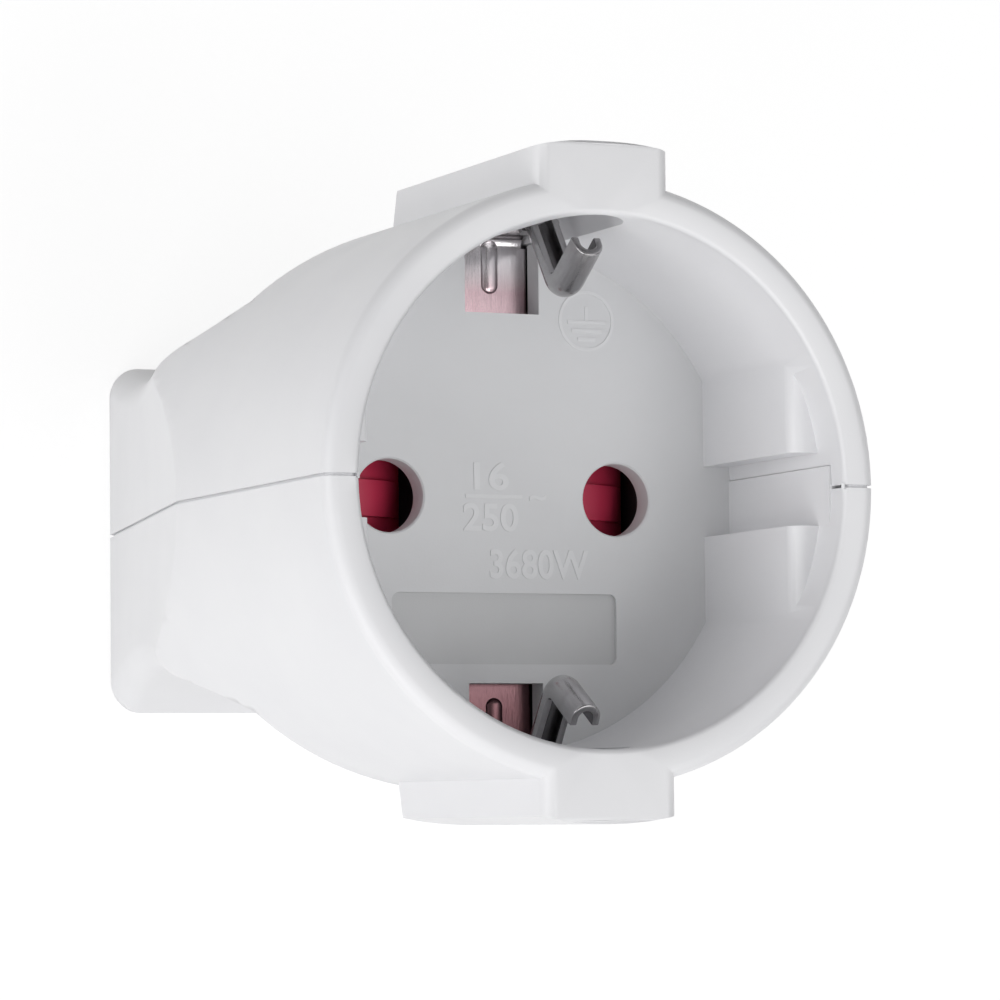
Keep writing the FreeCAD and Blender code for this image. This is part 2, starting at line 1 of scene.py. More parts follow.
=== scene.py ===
# %% [markdown]
# # A coupler socket with side earth clips
# The object is a trailing mains socket: a waisted white grip, a round collar with two finger
# lugs, and a deep recess with a face plate, two pin holes, a red safety shutter behind them and
# two sprung earth clips. The solids come from the CAD frame in real size. This lesson gives
# them their surfaces, their fine detail, the light and the camera.

# %% Open the frame
import math

import bmesh
import bpy
from mathutils import Matrix, Vector


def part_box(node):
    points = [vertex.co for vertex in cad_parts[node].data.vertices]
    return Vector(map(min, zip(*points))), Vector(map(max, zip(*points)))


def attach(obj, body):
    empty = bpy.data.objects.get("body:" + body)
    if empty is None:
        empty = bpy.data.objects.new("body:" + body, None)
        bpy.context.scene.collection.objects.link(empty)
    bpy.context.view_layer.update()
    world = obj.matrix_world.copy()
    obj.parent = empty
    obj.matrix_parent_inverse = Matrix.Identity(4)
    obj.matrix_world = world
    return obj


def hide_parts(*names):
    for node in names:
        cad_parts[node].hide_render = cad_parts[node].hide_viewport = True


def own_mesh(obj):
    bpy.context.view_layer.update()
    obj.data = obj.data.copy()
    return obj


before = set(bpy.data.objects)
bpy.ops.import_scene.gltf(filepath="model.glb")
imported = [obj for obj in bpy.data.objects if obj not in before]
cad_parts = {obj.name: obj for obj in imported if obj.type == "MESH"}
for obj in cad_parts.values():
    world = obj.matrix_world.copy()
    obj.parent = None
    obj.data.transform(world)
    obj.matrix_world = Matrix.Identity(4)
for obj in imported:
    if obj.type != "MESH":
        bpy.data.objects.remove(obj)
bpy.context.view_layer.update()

# %% [markdown]
# ## Helpers
# Every piece below is shaped as a bmesh, made a mesh with its materials and put in the scene.
# These short functions take up the steps that repeat.


# %% Helpers for shapes
def points_of(elements):
    """The points among the elements that a mesh operator gives back."""
    return [e for e in elements if isinstance(e, bmesh.types.BMVert)]


def shade_smooth(shape):
    """Soft shading on every face of a shape."""
    for face in shape.faces:
        face.smooth = True


def mesh_from(shape, name, *materials):
    """A mesh with its materials from a shape, which is freed."""
    mesh = bpy.data.meshes.new(name)
    shape.to_mesh(mesh)
    shape.free()
    for material in materials:
        mesh.materials.append(material)
    return mesh


def new_object(name, data):
    """An object in the scene for a mesh, a curve, a lamp or the camera."""
    made = bpy.data.objects.new(name, data)
    bpy.context.scene.collection.objects.link(made)
    return made


# %% [markdown]
# ## The camera
# The photograph was taken with a long lens, a little to the left of the socket's axis. A long
# lens keeps the collar round. The camera is placed by its three axes, because that keeps the
# slight roll of the picture, which aiming it at a point would lose.

# %% Camera
right = Vector((0.9097, -0.0111, 0.4151))
up = Vector((-0.0192, 0.9974, 0.0689))
back = Vector((-0.4148, -0.0706, 0.9072))
camera_place = Vector((-0.14084, -0.02411, 0.35955))
camera_data = bpy.data.cameras.new("camera")
camera_data.lens = 159.91
camera_data.sensor_width = 36
camera_data.clip_start = 0.01
camera = new_object("camera", camera_data)
placed = Matrix((right, up, back)).transposed().to_4x4()
placed.translation = camera_place
camera.matrix_world = placed
bpy.context.scene.camera = camera
bpy.context.scene.view_settings.view_transform = "Standard"
print("camera at", [round(v, 4) for v in camera.location])

# %% [markdown]
# ## Materials
# The finishes on this product are moulded plastic, plated strip metal, brass and steel. Each is one
# node graph on Object coordinates, so it needs no unwrapping and stays fixed to the piece. The
# colour varies a little, the gloss varies more, and a fine bump gives the grain of the tool's
# surface.


# %% Helpers for nodes
def node_adder(tree):
    """A function that adds a node to a graph. An input is a value or the socket that feeds it."""

    def add(kind, inputs=None, **settings):
        node = tree.nodes.new(kind)
        for key, value in settings.items():
            setattr(node, key, value)
        for key, value in (inputs or {}).items():
            if isinstance(value, bpy.types.NodeSocket):
                tree.links.new(value, node.inputs[key])
            else:
                node.inputs[key].default_value = value
        return node

    return add


def new_material(name):
    """A material with only its shader, and the functions that add nodes and links to its graph."""
    material = bpy.data.materials.new(name)
    material.use_nodes = True
    tree = material.node_tree
    return material, node_adder(tree), tree.nodes["Principled BSDF"], tree.links.new


def graded(add, factor, low, high, start=0.3, end=0.7):
    """A colour ramp from one colour to another over part of a pattern."""
    ramp = add("ShaderNodeValToRGB", {"Fac": factor})
    ramp.color_ramp.elements[0].position = start
    ramp.color_ramp.elements[1].position = end
    ramp.color_ramp.elements[0].color = (*low, 1)
    ramp.color_ramp.elements[1].color = (*high, 1)
    return ramp.outputs["Color"]


# %% [markdown]
# ### Moulded plastic
# The housing is a satin white moulding that has been handled: its gloss is uneven in large soft
# patches, its surface carries the very fine grain of a spark-eroded tool, and the colour drifts
# by a few percent. The plate inside is a slightly greyer shot of the same plastic, greyer still on
# the floor of its name field. The shutter is dyed red right through. The carrier behind it is
# coloured near black as painted shade, so that the holes look deep.


# %% Plastic
def moulded_plastic(name, low, high, gloss, grain, grain_depth, patches=70):
    """Moulded plastic with drifting colour, patchy gloss and the grain of its tool."""
    material, add, shader, link = new_material(name)
    place = add("ShaderNodeTexCoord").outputs["Object"]
    drift = add("ShaderNodeTexNoise", {"Vector": place, "Scale": patches, "Detail": 4, "Roughness": 0.55})
    link(graded(add, drift.outputs["Fac"], low, high), shader.inputs["Base Color"])
    handled = add("ShaderNodeTexNoise", {"Vector": place, "Scale": patches * 2.3, "Detail": 5,
                                         "Roughness": 0.6})
    spread = add("ShaderNodeMapRange", {"Value": handled.outputs["Fac"], "From Min": 0.25, "From Max": 0.75,
                                        "To Min": gloss - 0.05, "To Max": gloss + 0.07})
    link(spread.outputs["Result"], shader.inputs["Roughness"])
    fine = add("ShaderNodeTexNoise", {"Vector": place, "Scale": grain, "Detail": 3, "Roughness": 0.5})
    broad = add("ShaderNodeTexNoise", {"Vector": place, "Scale": grain / 30, "Detail": 2})
    shallow = add("ShaderNodeBump", {"Height": broad.outputs["Fac"], "Strength": 0.12, "Distance": 0.00006})
    bump = add("ShaderNodeBump", {"Height": fine.outputs["Fac"], "Strength": grain_depth, "Distance": 0.00002,
                                  "Normal": shallow.outputs["Normal"]})
    link(bump.outputs["Normal"], shader.inputs["Normal"])
    shader.inputs["IOR"].default_value = 1.5
    return material


white_plastic = moulded_plastic("white_plastic", (0.80, 0.80, 0.82), (0.83, 0.83, 0.845), 0.40, 9000, 0.35)
plate_plastic = moulded_plastic("plate_plastic", (0.74, 0.745, 0.755), (0.77, 0.775, 0.785), 0.46, 8000, 0.3)
# The carrier's near black is painted shade, so that the holes look deep.
carrier_painted_shade_plastic = moulded_plastic("carrier_painted_shade_plastic", (0.022, 0.022, 0.024), (0.032, 0.032, 0.034), 0.42,
                                  7000, 0.3)
field_plastic = moulded_plastic("field_plastic", (0.65, 0.655, 0.66), (0.68, 0.685, 0.69), 0.50, 8000, 0.4)
# The marks' paler colour is a painted sheen for their polished tops.
mark_painted_sheen_plastic = moulded_plastic("mark_painted_sheen_plastic", (0.785, 0.79, 0.80), (0.815, 0.82, 0.83), 0.40, 8000, 0.2)
red_plastic = moulded_plastic("red_plastic", (0.54, 0.032, 0.082), (0.62, 0.042, 0.10), 0.33, 8000, 0.25)
print("plastics:", [m.name for m in bpy.data.materials if "plastic" in m.name])

# %% [markdown]
# ### Plated strip, brass and steel
# The earth strip is stamped from rolled, plated metal. Rolling leaves fine lines along the strip.
# They run in the plane in which the strip is bent, so the pattern changes quickly across its width
# (X) and slowly along it. Stretched noise gives that, and it follows every bend without
# unwrapping. Plugs rub the clips dull and grey. The part of the strip that shows in the plate's
# windows is bright and coppery, with painted light along it: a painted reflection of the upper
# bend pales it towards the top, and painted shade darkens the lower window. The inside of the
# gutter has a darker metal of its own, which is painted shade.


# %% Metals
def rolled_metal(name, low, high, gloss, across, lines, tarnish, tints_and_painted_light=()):
    """Metal with fine rolling or turning lines: across is the stretch of the pattern on each axis.

    Tints are pairs of a place along Y and the colour that the metal is multiplied by there. They
    carry the metal's own tint together with painted light and shade along Y.
    """
    material, add, shader, link = new_material(name)
    place = add("ShaderNodeTexCoord").outputs["Object"]
    stretched = add("ShaderNodeMapping", {"Vector": place, "Scale": across})
    drawn = add("ShaderNodeTexNoise", {"Vector": stretched.outputs["Vector"], "Scale": 1.0, "Detail": 4,
                                       "Roughness": 0.7})
    dull = add("ShaderNodeTexNoise", {"Vector": place, "Scale": 330, "Detail": 5, "Roughness": 0.65})
    plain = add("ShaderNodeMix", {"A": (*low, 1), "B": (*high, 1), "Factor": drawn.outputs["Fac"]},
                data_type="RGBA")
    worn = add("ShaderNodeMapRange", {"Value": dull.outputs["Fac"], "From Min": 0.5, "From Max": 0.75,
                                      "To Min": 0.0, "To Max": 0.5})
    colour = add("ShaderNodeMix", {"A": plain.outputs["Result"], "B": (*tarnish, 1),
                                   "Factor": worn.outputs["Result"]}, data_type="RGBA")
    finish = colour.outputs["Result"]
    # The multipliers along Y carry painted light and shade as well as the metal's tint.
    if tints_and_painted_light:
        first, last = tints_and_painted_light[0][0], tints_and_painted_light[-1][0]
        along = add("ShaderNodeSeparateXYZ", {"Vector": place})
        share = add("ShaderNodeMapRange", {"Value": along.outputs["Y"], "From Min": first, "From Max": last})
        ramp = add("ShaderNodeValToRGB", {"Fac": share.outputs["Result"]})
        while len(ramp.color_ramp.elements) < len(tints_and_painted_light):
            ramp.color_ramp.elements.new(0.5)
        for stop, (level, tint_and_light) in zip(ramp.color_ramp.elements, tints_and_painted_light):
            stop.position = (level - first) / (last - first)
            stop.color = (*tint_and_light, 1)
        tinted_and_lit = add("ShaderNodeMix", {"A": finish, "B": ramp.outputs["Color"], "Factor": 1.0},
                     data_type="RGBA", blend_type="MULTIPLY")
        finish = tinted_and_lit.outputs["Result"]
    link(finish, shader.inputs["Base Color"])
    spread = add("ShaderNodeMapRange", {"Value": drawn.outputs["Fac"], "From Min": 0.2, "From Max": 0.8,
                                        "To Min": gloss - 0.06, "To Max": gloss + 0.1})
    link(spread.outputs["Result"], shader.inputs["Roughness"])
    bump = add("ShaderNodeBump", {"Height": drawn.outputs["Fac"], "Strength": lines, "Distance": 0.00003})
    link(bump.outputs["Normal"], shader.inputs["Normal"])
    shader.inputs["Metallic"].default_value = 1.0
    return material


# The window's multipliers along Y: the coppery tint of the metal, darkened as painted shade in the lower
# window and paled towards the top as a painted reflection of the bend.
window_tints_and_painted_light = (
    (-0.0165, (0.24, 0.125, 0.135)),
    (0.0, (0.45, 0.30, 0.33)),
    (0.0160, (0.72, 0.54, 0.57)),
    (0.0175, (0.86, 0.80, 0.81)),
    (0.0186, (1.0, 0.98, 0.99)))
strip_metal = rolled_metal("strip_metal", (0.35, 0.345, 0.35), (0.52, 0.51, 0.52), 0.17,
                           (9000, 600, 600), 0.5, (0.27, 0.245, 0.24))
# The gutter's metal is darker than the strip's: painted shade for the inside of the gutter.
gutter_painted_shade_metal = rolled_metal("gutter_painted_shade_metal", (0.13, 0.125, 0.13), (0.24, 0.235, 0.24), 0.32,
                            (9000, 600, 600), 0.5, (0.12, 0.10, 0.10))
window_metal = rolled_metal("window_metal", (0.62, 0.60, 0.61), (0.98, 0.97, 0.98), 0.15,
                            (5200, 500, 500), 0.6, (0.62, 0.55, 0.56), window_tints_and_painted_light)
sleeve_brass = rolled_metal("sleeve_brass", (0.66, 0.47, 0.20), (0.80, 0.60, 0.28), 0.26,
                            (22000, 800, 800), 0.4, (0.40, 0.27, 0.11))
turned_brass = rolled_metal("turned_brass", (0.64, 0.46, 0.20), (0.78, 0.58, 0.27), 0.24,
                            (900, 16000, 900), 0.4, (0.42, 0.28, 0.12))
zinc_steel = rolled_metal("zinc_steel", (0.56, 0.57, 0.60), (0.70, 0.71, 0.73), 0.28,
                          (1200, 9000, 1200), 0.3, (0.45, 0.43, 0.36))
spring_steel = rolled_metal("spring_steel", (0.42, 0.42, 0.43), (0.56, 0.56, 0.57), 0.25,
                            (3000, 3000, 3000), 0.3, (0.30, 0.27, 0.24))
print("metals:", [m.name for m in bpy.data.materials if m.name.split("_")[-1] in ("metal", "brass", "steel")])

# %% [markdown]
# ## The moulded and stamped pieces
# The frame's meshes are loose triangles, good for measuring but faceted in the light. Each piece
# that shows is copied, its triangles are joined and shaded smooth, and edges sharper than a set
# angle stay sharp. A narrow bevel breaks the edges so that they catch the light, and a weighted
# normal keeps the flat faces flat where they run into a round one.
#
# The collar's long faces end at the shoulder, where the surface bends. Smooth shading would draw
# that bend out along them as streaks, so the shells are divided at levels 2 mm apart there. Their
# normals are weighted by corner angle as well as by area, because the faces that meet along the
# bend differ widely in size.


# %% Smooth copies
weld = 2e-6


def smooth_copy(node, material, body, sharp_angle=28.0, broken_edge=0.0, levels=()):
    """A joined, smoothly shaded copy of one CAD node that takes its place, its edges broken a little.

    Long faces are divided at the given levels, so that the soft shading of an edge stays beside it.
    """
    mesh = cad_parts[node].data.copy()
    mesh.name = node + "_finished"
    shape = bmesh.new()
    shape.from_mesh(mesh)
    bmesh.ops.remove_doubles(shape, verts=shape.verts, dist=weld)
    for level in levels:
        bmesh.ops.bisect_plane(shape, geom=[*shape.verts, *shape.edges, *shape.faces],
                               plane_co=(0, 0, level), plane_no=(0, 0, 1))
    shade_smooth(shape)
    for edge in shape.edges:
        edge.smooth = len(edge.link_faces) == 2 and edge.calc_face_angle(0) < math.radians(sharp_angle)
    shape.to_mesh(mesh)
    shape.free()
    mesh.materials.clear()
    mesh.materials.append(material)
    piece = new_object(node + "_finished", mesh)
    if broken_edge > 0:
        broken = piece.modifiers.new("broken_edges", "BEVEL")
        broken.width = broken_edge
        broken.segments = 2
        broken.limit_method = "ANGLE"
        broken.angle_limit = math.radians(sharp_angle + 4)
        broken.harden_normals = True
    weighted = piece.modifiers.new("weighted_normals", "WEIGHTED_NORMAL")
    weighted.keep_sharp = True
    if levels:
        weighted.mode = "FACE_AREA_WITH_ANGLE"
    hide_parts(node)
    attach(piece, body)
    print(node, "joined:", len(mesh.vertices), "points", len(mesh.polygons), "faces")
    return piece


shoulder_low = 0.020
shoulder_step = 0.002
shoulder_levels = [shoulder_low + shoulder_step * step for step in range(13)]
for shell in ("upper_shell", "lower_shell"):
    smooth_copy(shell, white_plastic, "housing", sharp_angle=50.0, broken_edge=0.00014,
                levels=shoulder_levels)

# %% [markdown]
# Two copies have a second material on some of their faces: the plate on the floor of its name
# field, which lies a little below its face, and the strip where it lies flat behind the windows.

# %% Copies inside the shells
plate = smooth_copy("face_plate", plate_plastic, "housing", sharp_angle=28.0, broken_edge=0.00008)
plate.data.materials.append(field_plastic)
face_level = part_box("face_plate")[1].z
field_lowest = 0.0510
field_highest = face_level - 0.0002
for face in plate.data.polygons:
    if face.normal.z > 0.9 and field_lowest < face.center.z < field_highest:
        face.material_index = 1
smooth_copy("contact_carrier", carrier_painted_shade_plastic, "housing")
smooth_copy("shutter", red_plastic, "shutter", sharp_angle=20.0, broken_edge=0.00012)
strip = smooth_copy("earth_strip", strip_metal, "housing", sharp_angle=40.0,
                    broken_edge=0.00005)
strip.data.materials.append(window_metal)
window_highest = 0.0525
for face in strip.data.polygons:
    if face.center.z < window_highest:
        face.material_index = 1
smooth_copy("cord_clamp", white_plastic, "housing")
for side in ("live", "neutral"):
    smooth_copy(side + "_contact", sleeve_brass, "housing")
    smooth_copy(side + "_terminal", turned_brass, "housing")
smooth_copy("earth_terminal_plate", turned_brass, "housing")

# %% [markdown]
# ### The lip behind the parting line
# In the solids a lip closes the gap between the halves beside the recess, about 2 mm behind the
# surface, and elsewhere the gap is open. Little light comes back from that depth, and the line
# would render as a black crack where the photograph has a soft grey one. A narrow band therefore
# stands in the gap 0.3 mm behind the surface: the edges of the lower half's parting face that
# border the outside are copied, drawn in and extruded across.

# %% Lip
collar_side = 0.0219
outside_from = 0.0120
level_slack = 2e-5
setback = 0.0003
band_root = 0.0001
band_width = 0.00044
lip = bmesh.new()
lip.from_mesh(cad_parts["lower_shell"].data)
bmesh.ops.remove_doubles(lip, verts=lip.verts, dist=weld)
parting = max(v.co.y for v in lip.verts if abs(v.co.x) > collar_side)


def outward(face):
    """Whether a face belongs to the outside or to the front of the rim."""
    middle = face.calc_center_median()
    on_side = face.normal.x * middle.x > 0.0002
    on_front = face.normal.z > 0.3
    return abs(face.normal.y) < 0.5 and (on_side or on_front) and abs(middle.x) > outside_from


border = [e for e in lip.edges if all(abs(v.co.y - parting) < level_slack for v in e.verts)
          and any(f.normal.y > 0.9 for f in e.link_faces) and any(outward(f) for f in e.link_faces)]
print("edges on the parting line:", len(border), "at Y in mm:", round(1000 * parting, 2))
outsides = {}
for edge in border:
    for face in edge.link_faces:
        if outward(face):
            for vert in edge.verts:
                outsides[vert] = outsides.get(vert, Vector()) + face.normal * Vector((1, 0, 1))
kept = set(border)
bmesh.ops.delete(lip, geom=[e for e in lip.edges if e not in kept], context="EDGES_FACES")
bmesh.ops.delete(lip, geom=[v for v in lip.verts if not v.link_edges], context="VERTS")
for vert in lip.verts:
    vert.co -= outsides[vert].normalized() * setback + Vector((0, band_root, 0))
across_gap = bmesh.ops.extrude_edge_only(lip, edges=lip.edges[:])
bmesh.ops.translate(lip, verts=points_of(across_gap["geom"]), vec=(0, band_width, 0))
bmesh.ops.recalc_face_normals(lip, faces=lip.faces)
for face in lip.faces:
    if face.normal.x * face.calc_center_median().x < -0.0001:
        face.normal_flip()
seam_lip = new_object("seam_lip", mesh_from(lip, "seam_lip", white_plastic))
lip_body = seam_lip.modifiers.new("lip_thickness", "SOLIDIFY")
lip_body.thickness = 0.0004
lip_body.offset = -1
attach(seam_lip, "housing")
print("lip faces:", len(seam_lip.data.polygons))

# %% [markdown]
# ## The earth clips
# Each end of the strip is pressed into a round gutter and bent into a V that a plug's earth
# contact slides over. The frame's gutter has a bevelled section, which keeps its mesh small. The
# clips are what the eye goes to first, so the copy of the strip loses them at a cut in the wall
# pocket and two new ones are modelled: half a circle is the section, it is extruded down the
# first leg, spun round the bend and extruded to the tip. Solidify gives it the sheet's thickness
# and a small bevel breaks its sheared edges.

# %% Places on the strip
rim_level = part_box("upper_shell")[1].z
recess = 0.0195
bend_radius = 0.0024
gutter = 0.00118
gutter_depth = 0.00175
sheet = 0.00058
foot_out = 0.00085
foot_down = 0.0126
bend_in = 0.00623
bend_down = 0.0074
tip_in = 0.00275
tip_down = 0.0023
lower_deeper = 0.0014
clip_start = 0.0006
clip_sunk = 0.00003


def clip_points(side):
    """Foot, bend and tip of the clip on the upper (1) or lower (-1) side, which is bent a little deeper.

    The lower clip's bend and tip lie further in by shares of what it is deeper.
    """
    deeper = 0.0 if side > 0 else lower_deeper
    return (Vector((0, side * (recess + foot_out), rim_level - foot_down - deeper)),
            Vector((0, side * (recess - bend_in - deeper * 0.14), rim_level - bend_down - deeper)),
            Vector((0, side * (recess - tip_in - deeper * 0.37), rim_level - tip_down - deeper)))


# %% Cuts through the strip
clip_zone = 0.0150
cut_above_foot = 0.0013
trimmed = bmesh.new()
trimmed.from_mesh(strip.data)
for side in (1, -1):
    foot, bend = clip_points(side)[:2]
    along = (bend - foot).normalized()
    near = {v for v in trimmed.verts if v.co.z > rim_level - clip_zone and v.co.y * side > 0}
    verts = [v for v in trimmed.verts if v in near]
    edges = [e for e in trimmed.edges if near.intersection(e.verts)]
    faces = [f for f in trimmed.faces if near.intersection(f.verts)]
    bmesh.ops.bisect_plane(trimmed, geom=[*verts, *edges, *faces], plane_co=foot + along * cut_above_foot,
                           plane_no=along, clear_outer=True)
open_edges = [e for e in trimmed.edges if e.is_boundary]
bmesh.ops.holes_fill(trimmed, edges=open_edges)
bmesh.ops.recalc_face_normals(trimmed, faces=trimmed.faces)
trimmed.to_mesh(strip.data)
trimmed.free()
print("open edges closed at the cuts:", len(open_edges))


# %% One clip
def clip_shape(side):
    """Round gutter bent into a V, as an open sheet that faces the pin side."""
    foot, bend, tip = clip_points(side)
    along = (bend - foot).normalized()
    onward = (tip - bend).normalized()
    turn = along.angle(onward)
    inward = (onward - along).normalized()
    cut = bend_radius * math.tan(turn / 2)
    deep = inward - along * inward.dot(along)
    deep.normalize()
    start = foot + along * clip_start - deep * clip_sunk
    shape = bmesh.new()
    ring = bmesh.ops.create_circle(shape, segments=40, radius=gutter)
    upper_half = [v for v in ring["verts"] if v.co.y > 0.00001]
    bmesh.ops.delete(shape, geom=upper_half, context="VERTS")
    ends = [v for v in shape.verts if len(v.link_edges) == 1]
    raised = bmesh.ops.extrude_vert_indiv(shape, verts=ends)
    bmesh.ops.translate(shape, verts=raised["verts"], vec=(0, gutter_depth - gutter, 0))
    across = Vector((1, 0, 0))
    place = Matrix((across, deep, across.cross(deep))).transposed().to_4x4()
    place.translation = start + deep * gutter
    bmesh.ops.transform(shape, verts=shape.verts, matrix=place)
    leg = bmesh.ops.extrude_edge_only(shape, edges=shape.edges[:])
    leg_verts = points_of(leg["geom"])
    bmesh.ops.translate(shape, verts=leg_verts, vec=along * ((bend - along * cut) - start).dot(along))
    last = [e for e in shape.edges if all(v in leg_verts for v in e.verts)]
    bent = bmesh.ops.spin(shape, geom=last, cent=bend + inward * (bend_radius / math.cos(turn / 2)),
                          axis=along.cross(onward), dvec=(0, 0, 0), angle=turn, steps=16, use_merge=False,
                          use_duplicate=False)
    bent_edges = [g for g in bent["geom_last"] if isinstance(g, bmesh.types.BMEdge)]
    nose = bmesh.ops.extrude_edge_only(shape, edges=bent_edges)
    nose_verts = points_of(nose["geom"])
    bmesh.ops.translate(shape, verts=nose_verts, vec=onward * ((tip - bend).length - cut))
    bmesh.ops.remove_doubles(shape, verts=shape.verts, dist=1e-6)
    bmesh.ops.recalc_face_normals(shape, faces=shape.faces)
    bottom = min(shape.faces, key=lambda f: f.calc_center_median().x ** 2)
    if bottom.normal.dot(inward) > 0:
        bmesh.ops.reverse_faces(shape, faces=shape.faces)
    shade_smooth(shape)
    return mesh_from(shape, "clip", strip_metal, gutter_painted_shade_metal)


# %% Both clips
for side, word in ((1, "upper"), (-1, "lower")):
    clip = new_object("earth_clip_" + word, clip_shape(side))
    thick = clip.modifiers.new("sheet", "SOLIDIFY")
    thick.thickness = sheet
    thick.offset = -1
    thick.use_even_offset = True
    # The faces that Solidify adds take the second material, the painted shade inside the gutter.
    thick.material_offset = 1
    sheared = clip.modifiers.new("sheared_edges", "BEVEL")
    sheared.width = 0.00011
    sheared.segments = 3
    sheared.limit_method = "ANGLE"
    sheared.angle_limit = math.radians(60)
    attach(clip, "housing")
    print(clip.name, "faces before its thickness:", len(clip.data.polygons))

# %% [markdown]
# ### The strip's beads
# A long pressed bead stiffens the strip where it shows in each window of the plate. It is a
# flattened ball, drawn out along the strip and half sunk in it, so its sides are round and its end
# is blunt. It lies over the frame's shorter bead.


# %% Beads
bead_half_width = 0.0007
bead_height = 0.00027
bead_outer_end = 0.0187
strip_level = 0.0500


def bead_piece(side, word, end):
    """Long rounded bead on the strip's face, on the upper (1) or lower (-1) side, from its end outwards."""
    shape = bmesh.new()
    bmesh.ops.create_uvsphere(shape, u_segments=32, v_segments=16, radius=1.0,
                              matrix=Matrix.Rotation(math.radians(90), 4, "X"))
    bmesh.ops.scale(shape, verts=shape.verts, vec=(bead_half_width, bead_half_width, bead_height))
    far = [v for v in shape.verts if v.co.y * side > -1e-6]
    bmesh.ops.translate(shape, verts=far, vec=(0, side * (bead_outer_end - end), 0))
    bmesh.ops.translate(shape, verts=shape.verts, vec=(0, side * (end + bead_half_width), strip_level))
    shade_smooth(shape)
    bead = new_object("earth_bead_" + word, mesh_from(shape, "bead_" + word, window_metal))
    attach(bead, "housing")
    print(bead.name, "faces:", len(bead.data.polygons))


bead_piece(1, "upper", 0.01588)
bead_piece(-1, "lower", 0.0152)

# %% [markdown]
# ## Screws
# Every screw is a turned shank with a rolled thread and a domed head with a cross recess. The
# thread is a small wedge profile wound round the shank with the spin operator and its rise per
# step, which is how a helix is made without working out its points. The recess is cut with a
# boolean, because two crossed wedges cannot be inset into a round face cleanly. Each screw takes
# its place and length from its CAD node.


# %% Screw parts
def screw_shape(shank_radius, shank_length, head_radius, head_height, pitch):
    """Screw along -Z with its head's underside at the origin, as one mesh."""
    shape = bmesh.new()
    core = shank_radius * 0.80
    shank = bmesh.ops.create_cone(shape, cap_ends=True, segments=40, radius1=core * 0.82, radius2=core,
                                  depth=shank_length)
    bmesh.ops.translate(shape, verts=shank["verts"], vec=(0, 0, -shank_length / 2 + head_height * 0.05))
    head = bmesh.ops.create_cone(shape, cap_ends=True, segments=56, radius1=head_radius, radius2=head_radius,
                                 depth=head_height * 0.999)
    bmesh.ops.translate(shape, verts=head["verts"], vec=(0, 0, head_height / 2))
    rim = [e for e in shape.edges if all(v.co.z > head_height * 0.9 for v in e.verts)]
    bmesh.ops.bevel(shape, geom=rim, offset=head_height * 0.42, segments=5, profile=0.5, affect="EDGES",
                    material=-1)
    foot = [e for e in shape.edges if all(abs(v.co.z) < head_height * 0.02 for v in e.verts)
            and all(v.co.to_2d().length > head_radius * 0.9 for v in e.verts)]
    bmesh.ops.bevel(shape, geom=foot, offset=head_height * 0.06, segments=2, profile=0.5, affect="EDGES",
                    material=-1)
    turns = int((shank_length * 0.86) / pitch)
    steps = 24 * turns
    root = core * 0.97
    wedge = ((root, -pitch * 0.45), (shank_radius, -pitch * 0.04), (shank_radius, pitch * 0.04),
             (root, pitch * 0.45))
    corners = [shape.verts.new((out, 0, level)) for out, level in wedge]
    bmesh.ops.translate(shape, verts=corners, vec=(0, 0, -shank_length * 0.96 + pitch * 0.5))
    ring = [shape.edges.new((corners[i], corners[(i + 1) % 4])) for i in range(4)]
    shape.faces.new(corners)
    wound = bmesh.ops.spin(shape, geom=ring, cent=(0, 0, 0), axis=(0, 0, 1),
                           dvec=(0, 0, pitch * turns / steps), angle=math.radians(360 * turns), steps=steps,
                           use_merge=False, use_duplicate=False)
    shape.faces.new(points_of(wound["geom_last"]))
    bmesh.ops.recalc_face_normals(shape, faces=shape.faces)
    shade_smooth(shape)
    for edge in shape.edges:
        edge.smooth = edge.calc_face_angle(0) < math.radians(34)
    return mesh_from(shape, "screw")


def cross_cutter(head_radius, head_height):
    """Two crossed tapering blades that leave a cross recess."""
    shape = bmesh.new()
    for turn in (0, 90):
        blade = bmesh.ops.create_cube(shape, size=1.0)
        bmesh.ops.scale(shape, verts=blade["verts"],
                        vec=(head_radius * 1.05, head_radius * 0.24, head_height * 1.3))
        low = [v for v in blade["verts"] if v.co.z < 0]
        bmesh.ops.scale(shape, verts=low, vec=(0.55, 0.8, 1.0))
        bmesh.ops.rotate(shape, verts=blade["verts"], cent=(0, 0, 0),
                         matrix=Matrix.Rotation(math.radians(turn), 3, "Z"))
        bmesh.ops.translate(shape, verts=blade["verts"], vec=(0, 0, head_height * 1.05))
    return mesh_from(shape, "cross")


